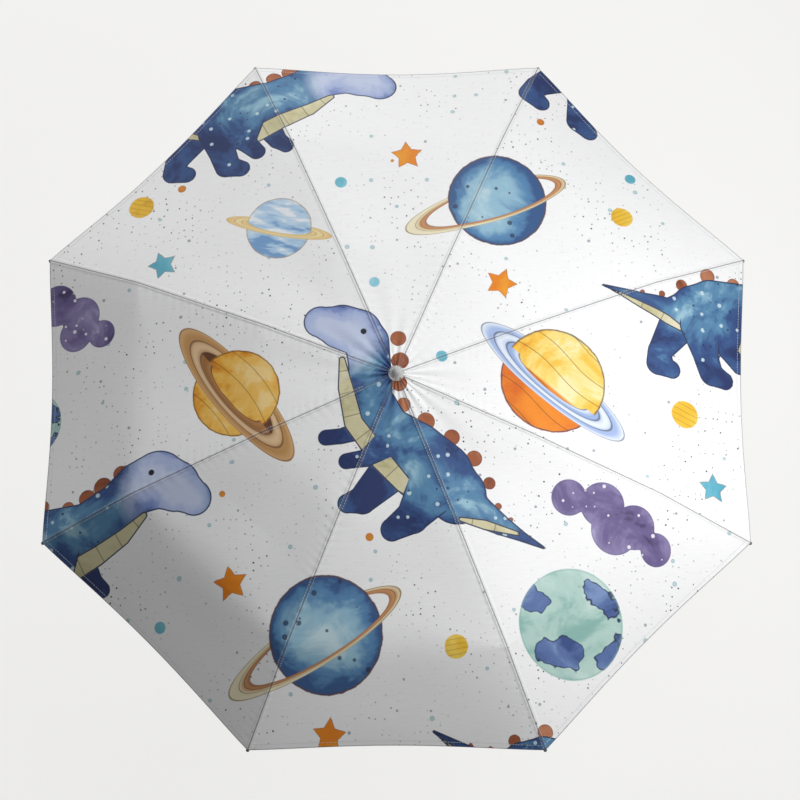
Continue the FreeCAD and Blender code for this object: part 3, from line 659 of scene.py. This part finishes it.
def paint_dinosaurs(p):
    """Rust plates, the far limbs, the body, the banded cream belly, then the near limbs, each in a blue
    wash with an ink outline. The wash is paler deep inside the body. Pale and dark spots go over the
    back, the head is paler, and the eye is a plain dot. No ink is drawn deep inside the body."""
    body, far, belly = p.attribute("dinosaur")
    bands, plates, head = p.attribute("trimmings")
    limbs, eye, _ = p.attribute("limbs")
    rust = p.wash((0.2, 0.045, 0.012), (0.36, 0.1, 0.035), (0.5, 0.2, 0.1))
    plate_rim = p.both(p.near(plates, -0.0004, 0.0004, 0.0005), 0.6)
    p.lay(p.below(plates, 0.0, 0.0004), p.blend(plate_rim, rust, (0.1, 0.02, 0.01, 1)))
    depth = put(p.tree, "MapRange", body, -0.03, 0.02, 0.13, -0.09)
    blues = (0.012, 0.03, 0.13), (0.028, 0.08, 0.24), (0.09, 0.24, 0.42), (0.32, 0.54, 0.66)
    blue = p.wash(*blues, noise=p.maths("ADD", p.wash_noise, depth), low=0.36, high=0.74)
    face = p.scaled(p.wash_noise, 0.6, p.scaled(depth, 1.7))
    pales = (0.05, 0.085, 0.3), (0.2, 0.28, 0.58), (0.42, 0.5, 0.75), (0.56, 0.63, 0.82)
    pale = p.wash(*pales, noise=face, low=0.2, high=0.46)
    dots, pick, _, _ = p.cells(0.011, 0.0026, 0.3)
    dot_dark, dot_pale = (0.012, 0.025, 0.09, 1), (0.6, 0.76, 0.84, 1)
    spots = p.blend(p.maths("GREATER_THAN", pick, 0.55), dot_dark, dot_pale)
    spotted = p.blend(p.both(dots, 0.85), blue, spots)
    skin = p.blend(p.below(head, HEAD_REACH, 0.014), spotted, pale)
    skin = p.blend(p.below(eye, EYE_R, 0.0004), skin, (0.006, 0.008, 0.02, 1))
    cream = p.wash((0.5, 0.46, 0.24), (0.66, 0.61, 0.38), (0.78, 0.74, 0.54))
    rungs = p.stripes(bands, 1 / BAND_PITCH, 0.02, 0.02)
    cream = p.blend(p.both(rungs, 0.7), cream, (0.1, 0.09, 0.05, 1))
    shallow = p.outside(p.below(body, -0.011, 0.004))
    layers = (far, blue, 1.0), (body, skin, 1.0), (belly, cream, 1.0), (limbs, spotted, shallow)
    for gap, paint, shown in layers:
        ink = p.both(p.near(gap, *INK), shown)
        p.lay(p.below(gap, 0.0, 0.0004), p.blend(ink, paint, (*NAVY, 1)))


def paint_splatter(p):
    """Tiny dark flecks, thick in drifts and thin between them, and a few larger pale dots with darker
    rims."""
    drift = put(p.tree, "TexNoise", p.place, 8.0, 2.0, 0.6)
    drift = put(p.tree, "MapRange", drift, 0.46, 0.6, 0.0, 1.0)
    flecks, pick, _, _ = p.cells(0.0082, 0.00105, 0.55)
    fleck = p.blend(pick, (0.06, 0.075, 0.12, 1), (0.004, 0.005, 0.012, 1))
    p.lay(p.both(flecks, p.scaled(drift, 0.88, 0.12)), fleck)
    dots, pick, far_off, size = p.cells(0.031, 0.0027, 0.3)
    ring = p.near(p.maths("SUBTRACT", far_off, size), -0.014, 0.012, 0.008)
    slate, teal = (0.06, 0.1, 0.2, 1), (0.13, 0.4, 0.44, 1)
    colour = p.blend(p.maths("GREATER_THAN", pick, 0.6), slate, teal)
    p.lay(p.both(dots, p.scaled(ring, 0.35, 0.5)), colour)


# ---------------------------------------------------------------- canopy cloth
# White polyester pongee, printed, cut into eight gores and sewn along the ribs with felled seams. Beside
# each arm the cloth is three lengths, which meet across the knee and the hip, where it folds. Each rides
# on its own rib. A rosette of cloth bends over the crown's hinges, and small patches cover each knee and
# hip from beneath.
GORE = math.radians(22.5)
CLOTH = 0.35 * MM
HEM_WIDTH = 6.5 * MM
HEM_TURN = 0.35 * MM
SEAM_HALF = 2.6 * MM
BEND = 28 * MM
THREAD_PITCH = 0.0005
SPREAD = math.sin(2 * GORE) / 2

# The cloth's height over a rib at its hole, knee, hip and tip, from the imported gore's two faces.
corners = np.array([v.co for v in nodes["canopy_panel_1"].data.vertices])
over_rib = corners[np.abs(np.arctan2(corners[:, 1], corners[:, 0]) - GORE) < 1e-3]
over_rib = np.column_stack([np.hypot(over_rib[:, 0], over_rib[:, 1]), over_rib[:, 2]])
over_rib = np.unique(np.round(over_rib, 6), axis=0)
STATIONS = over_rib[::2] * 0.5 + over_rib[1::2] * 0.5
HOLE, KNEE, HIP, TIP = STATIONS
STATION_R, STATION_Z = STATIONS.T
RIB_RUN = np.concatenate([[0], np.cumsum(np.hypot(*np.diff(STATIONS, axis=0).T))])
slopes = np.diff(STATION_Z) / np.diff(STATION_R)
CREASES = ((1, slopes[0] - slopes[1]), (2, slopes[1] - slopes[2]))
ROSETTE = 40 * MM
FOLD_LINES = {
    "hole": (HOLE[0], 0.0),
    "rosette": (ROSETTE, 1.0),
    "knee": (KNEE[0], 1.0),
    "hip": (HIP[0], 0.3),
    "hem": (TIP[0], 0.0),
}


def at_station(s, known):
    """The value at s, which runs 0 to 3 over the stations, from the known value at each."""
    return np.interp(s, range(4), known)


def station_of(value, known):
    """Where a value lies among the stations, 0 to 3, from the known value at each."""
    return np.interp(value, known, range(4))


def arm_frame(k):
    """An arm's outward and sideways directions."""
    a = math.radians(22.5 + 45 * (k - 1))
    return np.array([math.cos(a), math.sin(a), 0]), np.array([-math.sin(a), math.cos(a), 0])


def cloth_places(k, s, w, out=0.0, drop=0.0):
    """Places on arm k's cloth. s runs 0 to 3 from the ferrule's hole by way of the knee and the hip to
    the tip, and w runs -1 to 1 across, from one panel's middle over the rib to the next panel's middle.

    A panel is ruled by chords from rib to rib, each at one s. With t from 0 at one rib to 1 at the next,
    the cloth sags under its chord as (4 t (1 - t))^1.6, its hem is hollowed inwards, and its creases at
    the knee and the hip are rounded by a parabola, more so away from the ribs. Pleats fan out from the
    hole, the seam stands up as a flat fell, and stitching puckers the cloth beside it as a sine that dies
    away sideways. out and drop move a place outwards across the hem, and down."""
    outward, sideways = arm_frame(k)
    r, z, run = (at_station(s, known) for known in (STATION_R, STATION_Z, RIB_RUN))
    t = np.abs(w) / 2
    x = r * (1 - t * (1 - math.cos(2 * GORE)))
    y = r * w * SPREAD
    belly = (4 * t * (1 - t)) ** 1.6
    half = BEND * (0.06 + belly)
    rounded = [
        crease * np.clip(half - np.abs(run - RIB_RUN[at]), 0, None) ** 2 / (4 * half)
        for at, crease in CREASES
    ]
    sag = np.interp(s, [0, 1, 1.5, 2, 2.5, 3], np.array([0, 1.5, 4, 2.5, 6, 7]) * MM)
    hollow = 6 * MM * np.clip(s - 2, 0, 1) ** 2 * belly - out
    x, y = x - hollow * math.cos(GORE), y - hollow * math.sin(GORE) * np.sign(w)
    panel = (k - 1 + np.where(w < 0, -1, 0)) % 8
    turn = math.pi * np.where(w < 0, 1 - t, t)
    pleats = 1.1 * MM * np.exp(-run / 0.045) * np.sin(turn) * np.cos(6 * turn + panel)
    fell = 0.45 * MM * np.clip((SEAM_HALF + 0.6 * MM - np.abs(y)) / (0.6 * MM), 0, 1)
    groove = -0.35 * MM * np.exp(-((y / (0.45 * MM)) ** 2))
    ripple = np.sin(TAU * run / 0.0105 + 2 * np.sin(run * 61 + k)) * np.clip(run / 0.03, 0, 1)
    pucker = 0.28 * MM * np.exp(-np.abs(y) / (9 * MM)) * ripple
    swell = 0.9 * MM * np.sin(run * 31 + 1.3 * panel) * np.sin(turn * 2 + panel) * belly
    z = z - sag * belly - sum(rounded) + pleats + fell + groove + pucker + swell - drop
    up = np.array([0, 0, 1])
    return outward * x[..., None] + sideways * y[..., None] + up * z[..., None], y, run


def grid_quads(rows, columns):
    """Corner numbers of a grid's quads, facing up when rows run outwards and columns anticlockwise."""
    at = np.arange(rows * columns).reshape(rows, columns)
    return np.stack([at[:-1, :-1], at[1:, :-1], at[1:, 1:], at[:-1, 1:]], -1).reshape(-1, 4)


def paint_print(p):
    """The whole print, from the furthest layer to the nearest."""
    paint_splatter(p)
    paint_round(p, "spot", [(0.1, 0.42, 0.55), (0.22, 0.58, 0.7), (0.45, 0.74, 0.82)])
    paint_round(p, "rust_spot", [(0.55, 0.16, 0.01), (0.78, 0.32, 0.04)])
    paint_clouds(p)
    straw = (0.86, 0.6, 0.22), (0.93, 0.76, 0.4), (0.84, 0.58, 0.22)
    paint_planet(p, "sky", (1.66, 0.26, 0.55), sky_disc, straw, (0.5, 0.33, 0.13))
    paint_globe(p)
    cream = (0.5, 0.2, 0.08), (0.62, 0.32, 0.14), (0.86, 0.78, 0.52), (0.88, 0.81, 0.58)
    paint_planet(p, "blue", (1.75, 0.42, 0.8), blue_disc, cream, BROWN, (0.24, 0.13))
    tan = (0.5, 0.25, 0.09), (0.36, 0.15, 0.04), (0.78, 0.55, 0.32), (0.55, 0.29, 0.1), (0.7, 0.43, 0.2)
    paint_planet(p, "amber", (2.02, 0.54, 0.42), amber_disc, tan, BROWN, shadow=0.36)
    snow, ice = (0.8, 0.86, 0.95), (0.3, 0.43, 0.74)
    icy = snow, ice, (0.78, 0.85, 0.95), (0.36, 0.48, 0.78), snow
    paint_planet(p, "gold", (1.7, 0.41, 0.46), gold_disc, icy, NAVY)
    paint_stars(p, "star", (0.66, 0.15, 0.003), (0.82, 0.24, 0.006), (0.88, 0.36, 0.02))
    paint_stars(p, "teal_star", (0.06, 0.36, 0.5), (0.18, 0.52, 0.64))
    paint_round(p, "small", [(0.62, 0.3, 0.01), (0.85, 0.52, 0.03), (0.93, 0.68, 0.12)], 2.4)
    paint_dinosaurs(p)


def sewing_lines_and_hem_shade(p):
    """1 along the seam, its two rows of stitching and the hem's stitching, and a painted shade along the
    hem's edge and the cloth turned under it, from the sewing attribute: how far to the side of the rib a
    place is, and how far it is from the hem."""
    put(p.tree, "Attribute", attribute_name="sewing")
    put(p.tree, "SeparateXYZ", p.tree.nodes[-1].outputs["Vector"])
    sideways, from_hem, _ = p.tree.nodes[-1].outputs
    sideways = p.maths("ABSOLUTE", sideways)
    join = p.below(sideways, 0.0006, 0.0004)
    fells = p.both(p.near(sideways, SEAM_HALF, 0.0002, 0.0004), 0.35)
    hem = p.both(p.near(from_hem, HEM_WIDTH, 0.0002, 0.0004), 0.4)
    # Painted shade: the hem's edge, and the cloth turned under it, are darkened as if by the shade of the
    # cloth's thickness.
    edge = p.both(p.below(from_hem, 0.0007, 0.0005), 0.8)
    return p.maths("MAXIMUM", p.maths("MAXIMUM", join, fells), p.maths("MAXIMUM", hem, edge))


def cloth_finish(name, show):
    """Plain-woven polyester: threads at THREAD_PITCH cross as two sines, which shade and lift the cloth.
    The print is mixed in by show, because the underside shows it only faintly."""
    material, tree, shader = new_finish(name, (0.9, 0.9, 0.9), 0.62)
    put(tree, "UVMap", uv_map="cloth")
    place = put(tree, "VectorMath", tree.nodes[-1].outputs[0], (0.5, 0.5, 0), operation="SUBTRACT")
    p = Painter(tree, place)
    paint_print(p)
    colour = p.blend(show, (0.9, 0.9, 0.905, 1), p.ground)
    # The dark grey lays the seam and the stitching, and also the painted shade at the hem's edge.
    colour = p.blend(p.both(sewing_lines_and_hem_shade(p), 0.8), colour, (0.14, 0.145, 0.16, 1))
    put(tree, "SeparateXYZ", place)
    x, y, _ = tree.nodes[-1].outputs
    warp, weft = (p.maths("SINE", p.scaled(across, TAU / THREAD_PITCH)) for across in (x, y))
    weave = p.maths("MULTIPLY", warp, weft)
    drawn_out = put(tree, "VectorMath", place, (60, 900, 1), operation="MULTIPLY")
    slub = put(tree, "TexNoise", drawn_out, 1.0, 2.0, 0.5)
    tone = put(tree, "MapRange", p.scaled(weave, 0.12, slub), 0.3, 0.75, 0.955, 1.02)
    colour = put(tree, "Mix", 1.0, colour, tone, data_type="RGBA", blend_type="MULTIPLY")
    tree.links.new(colour, shader.inputs["Base Color"])
    tree.links.new(put(tree, "Bump", 0.25, 0.00008, 1.0, weave), shader.inputs["Normal"])
    shader.inputs["Sheen Weight"].default_value = 0.15
    shader.inputs["Sheen Roughness"].default_value = 0.4
    return material


def soft_finish(name, colour, roughness, sheen):
    """A plain finish with the sheen of spun fibre, its node tree and its shader."""
    material, tree, shader = new_finish(name, colour, roughness)
    shader.inputs["Sheen Weight"].default_value = sheen
    return material, tree, shader


top_cloth = cloth_finish("printed_pongee", 1.0)
under_cloth = cloth_finish("pongee_underside", 0.35)
patch_cloth, _, _ = soft_finish("patch_taffeta", (0.8, 0.8, 0.81), 0.65, 0.15)
thread, _, _ = soft_finish("polyester_thread", (0.83, 0.83, 0.84), 0.5, 0.2)


def folded_at(line, w):
    """How far out a fold line is along the rib whose chord it meets at w. Its lean runs from 0, along the
    chord, to 1, straight across the arm."""
    out, lean = FOLD_LINES[line]
    return out / (1 - lean * np.abs(w) / 2 * (1 - math.cos(2 * GORE)))


def plan_area(line):
    """The area inside a fold line, in plan, over half a panel."""
    return FOLD_LINES[line][0] * folded_at(line, 1) * SPREAD / 2


def share_across(s, y):
    """The w of cloth that is y metres to the side of the rib, at s."""
    return y / (at_station(s, STATION_R) * SPREAD)


def lay_cloth(name, k, s, w, out=0.0, drop=0.0):
    """One length of cloth on arm k over a grid of s and w, with its print, sewing and thickness. out and
    drop, one for each row, turn the hem under."""
    out, drop = (np.broadcast_to(np.reshape(a, (-1, 1)), s.shape) for a in (out, drop))
    points, y, run = cloth_places(k, s, w, out, drop)
    points = points.reshape(-1, 3)
    piece = surface(name, points, grid_quads(*s.shape), [top_cloth, under_cloth])
    mesh = piece.data
    plan = points[:, :2]
    corner = np.empty(len(mesh.loops), int)
    mesh.loops.foreach_get("vertex_index", corner)
    uv = (plan[corner] + 0.5).astype(np.float32)
    mesh.uv_layers.new(name="cloth").data.foreach_set("uv", uv.ravel())
    # Rows turned under the hem count as at its edge, so they take the painted shade of the hem's edge.
    sewing = np.stack([y, np.where(drop > 0, 0, RIB_RUN[3] - run), run], -1).astype(np.float32)
    layer = mesh.attributes.new("sewing", "FLOAT_VECTOR", "POINT")
    layer.data.foreach_set("vector", sewing.ravel())
    print_on(mesh, plan)
    thick = piece.modifiers.new("cloth", "SOLIDIFY")
    thick.thickness = CLOTH
    thick.offset = 0
    thick.use_rim = False
    thick.material_offset = 1
    return piece


THREAD_R = 0.17 * MM
STITCH, PITCH, BESIDE = 2.3 * MM, 3.2 * MM, 1.7 * MM


def sew(name, k, starts, ends):
    """Stitches on arm k, each from one (s, w) to another: a low arch of four-sided thread, two lengths
    long."""
    a, b = (cloth_places(k, *np.array(side).T)[0] for side in (starts, ends))
    along = (b - a) / np.linalg.norm(b - a, axis=1)[:, None]
    up = np.array([0, 0, 1])
    across = np.cross(along, up)
    points = [
        at + up * (CLOTH / 2 + lift * MM) + (across * i + up * j * 0.6) * THREAD_R
        for at, lift in ((a, -0.05), ((a + b) / 2, 0.3), (b, -0.05))
        for i, j in ((1, 0), (0, 1), (-1, 0), (0, -1))
    ]
    points = np.stack(points, 1)
    ring = np.arange(4)
    beside = (ring + 1) % 4
    quads = np.stack([ring, beside, beside + 4, ring + 4], 1)
    quads = np.concatenate([quads, quads + 4])
    quads = (quads[None] + np.arange(len(a))[:, None, None] * 12).reshape(-1, 4)
    return surface(name, points.reshape(-1, 3), quads, [thread])


def stitches_beside(low_run, high_run, hand):
    """A row of stitches beside the seam: the (s, w) at which each begins and ends."""
    at = np.arange(low_run + 1 * MM, high_run - 3 * MM, PITCH)
    both_ends = (station_of(run, RIB_RUN) for run in (at, at + STITCH))
    return [np.column_stack([s, share_across(s, hand * BESIDE)]) for s in both_ends]


def stitches_along_hem(hand):
    """A row of stitches along the hem, from near the rib to near the panel's middle."""
    s = 3 - (HEM_WIDTH - 1 * MM) / (RIB_RUN[3] - RIB_RUN[2])
    pitch = PITCH / (TIP[0] * math.sin(GORE))
    w = np.arange(pitch / 2, 1 - pitch, pitch) * hand
    both_ends = (w, w + hand * pitch * STITCH / PITCH)
    return [np.column_stack([np.full(len(w), s), end]) for end in both_ends]


# Each length of cloth: the fold lines that it runs between, its rows, and the station that it hangs from.
LENGTHS = {
    "crown": ("hole", "rosette", 18, 0),
    "inner": ("rosette", "knee", 56, 0),
    "middle": ("knee", "hip", 66, 1),
    "outer": ("hip", "hem", 54, 2),
}
COLUMNS = 44
HANDS = {0: "", 1: "_left", -1: "_right"}
PATCHES = (("inner", "middle", 1, 9 * MM), ("middle", "outer", 2, 10 * MM))
PATCH_WIDTH = 17 * MM
side = np.linspace(0, 1, COLUMNS) ** 1.5
ACROSS = {0: np.concatenate([-side[:0:-2], side[1::2]]), 1: side, -1: -side[::-1]}
hem_turn = np.linspace(0, math.pi, 6)[1:]
turned_under = np.array([2.5, 5.0, 6.9]) * MM
hem_s = np.concatenate([np.full(5, 3.0), 3 - turned_under / (RIB_RUN[3] - RIB_RUN[2])])
hem_out = np.concatenate([HEM_TURN * np.sin(hem_turn), np.zeros(3)])
hem_drop = np.concatenate([HEM_TURN * (1 - np.cos(hem_turn)), np.full(3, 2 * HEM_TURN)])


def cloth_length(name, hand, k):
    """A length of cloth on arm k, over both its sides or to one hand, and its flat width, the runs that it
    lies between and its flat area."""
    near, far, rows, _ = LENGTHS[name]
    w = ACROSS[hand]
    r = folded_at(near, w)
    r = r + (folded_at(far, w) - r) * np.linspace(0, 1, rows)[:, None]
    s, w = station_of(r, STATION_R), np.broadcast_to(w, r.shape)
    out, drop = np.zeros(rows), np.zeros(rows)
    if name == "outer":
        s = np.vstack([s, np.broadcast_to(hem_s[:, None], (len(hem_s), s.shape[1]))])
        w = np.broadcast_to(w[:1], s.shape)
        out, drop = np.concatenate([out, hem_out]), np.concatenate([drop, hem_drop])
    cloth = lay_cloth(f"cloth_{name}_{k}{HANDS[hand]}", k, s, w, out, drop)
    ends = np.array([FOLD_LINES[near][0], FOLD_LINES[far][0]])
    runs = at_station(station_of(ends, STATION_R), RIB_RUN)
    area = (plan_area(far) - plan_area(near)) * np.ptp(runs) / np.ptp(ends)
    return cloth, folded_at(far, 1) * SPREAD, runs, area


for k in ARMS:
    cloth, wide, runs, area = cloth_length("crown", 0, k)
    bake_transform(cloth)

    for name, hand in [(name, hand) for name in ("inner", "middle", "outer") for hand in (1, -1)]:
        cloth, wide, runs, area = cloth_length(name, hand, k)
        starts, finishes = stitches_beside(*runs, hand)
        if name == "outer":
            hem_starts, hem_finishes = stitches_along_hem(hand)
            starts = np.concatenate([starts, hem_starts])
            finishes = np.concatenate([finishes, hem_finishes])
        stitches = sew(f"stitches_{name}_{k}{HANDS[hand]}", k, starts, finishes)

        # The direction across the cloth's own plane, square to the rib, towards which it would gather. It
        # is worked out but not used.
        hangs_from = LENGTHS[name][3]
        step_out, step_up = STATIONS[hangs_from + 1] - STATIONS[hangs_from]
        down_rib = np.array([step_out, 0, step_up]) / math.hypot(step_out, step_up)
        chord = np.array([-math.sin(GORE), hand * math.cos(GORE), 0])
        gather = chord - (chord @ down_rib) * down_rib
        gather = gather / np.linalg.norm(gather)
        for piece in (cloth, stitches):
            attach(piece, f"{name}_rib_{k}")
            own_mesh(piece)
        if name == "inner" and hand == 1:
            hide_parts(f"canopy_panel_{k}")

    for first, second, at, span in PATCHES:
        s = station_of(RIB_RUN[at] + np.linspace(-span, span, 25), RIB_RUN)
        s, v = np.meshgrid(s, np.linspace(-1, 1, 13), indexing="ij")
        w = share_across(s, v * PATCH_WIDTH / 2)
        points, _, _ = cloth_places(k, s, w, 0.0, 0.55 * MM)
        quads = grid_quads(*s.shape)
        patch = surface(f"patch_{second}_{k}", points.reshape(-1, 3), quads, [patch_cloth])
        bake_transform(patch)


# ---------------------------------------------------------------- closing strap
# A folded ribbon of plain white cloth, sewn under the hem beside one arm, with a press stud near its
# rounded free end. It lies along the cloth when the umbrella is open.
STRAP_ARM = 3
STRAP_WIDTH = 14 * MM
STRAP_LENGTH = 100 * MM
STRAP_INSET = 4 * MM
STRAP_BESIDE = 11 * MM
STRAP_CORNER = 4 * MM
strap_finish, tree, shader = soft_finish("ribbon", (0.86, 0.86, 0.87), 0.6, 0.15)
ribs = put(tree, "TexWave", object_place(tree), 900.0, 0.6, 1.0)
tree.links.new(put(tree, "Bump", 0.3, 0.0001, 1.0, ribs), shader.inputs["Normal"])
inset = STRAP_INSET + np.linspace(0, STRAP_LENGTH, 61)
into_corner = np.clip(STRAP_CORNER - (inset[-1] - inset), 0, None)
cut_off = STRAP_CORNER - np.sqrt(np.clip(STRAP_CORNER**2 - into_corner**2, 0, None))
s = station_of(RIB_RUN[3] + 2.5 * MM - inset, RIB_RUN)
s, v = np.meshgrid(s, np.linspace(-1, 1, 15), indexing="ij")
w = share_across(s, STRAP_BESIDE + v * (STRAP_WIDTH / 2 - cut_off)[:, None])
points, _, _ = cloth_places(STRAP_ARM, s, w, 0.0, 1.3 * MM)
strap = surface("strap", points.reshape(-1, 3), grid_quads(*s.shape)[:, ::-1], [strap_finish])
thick = strap.modifiers.new("ribbon", "SOLIDIFY")
thick.thickness = 0.9 * MM
thick.offset = 0
soften = strap.modifiers.new("edges", "BEVEL")
soften.width = 0.3 * MM
soften.segments = 2
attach(strap, f"outer_rib_{STRAP_ARM}")
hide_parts("tie_strap")
dress(wire_steel, "tie_snap")
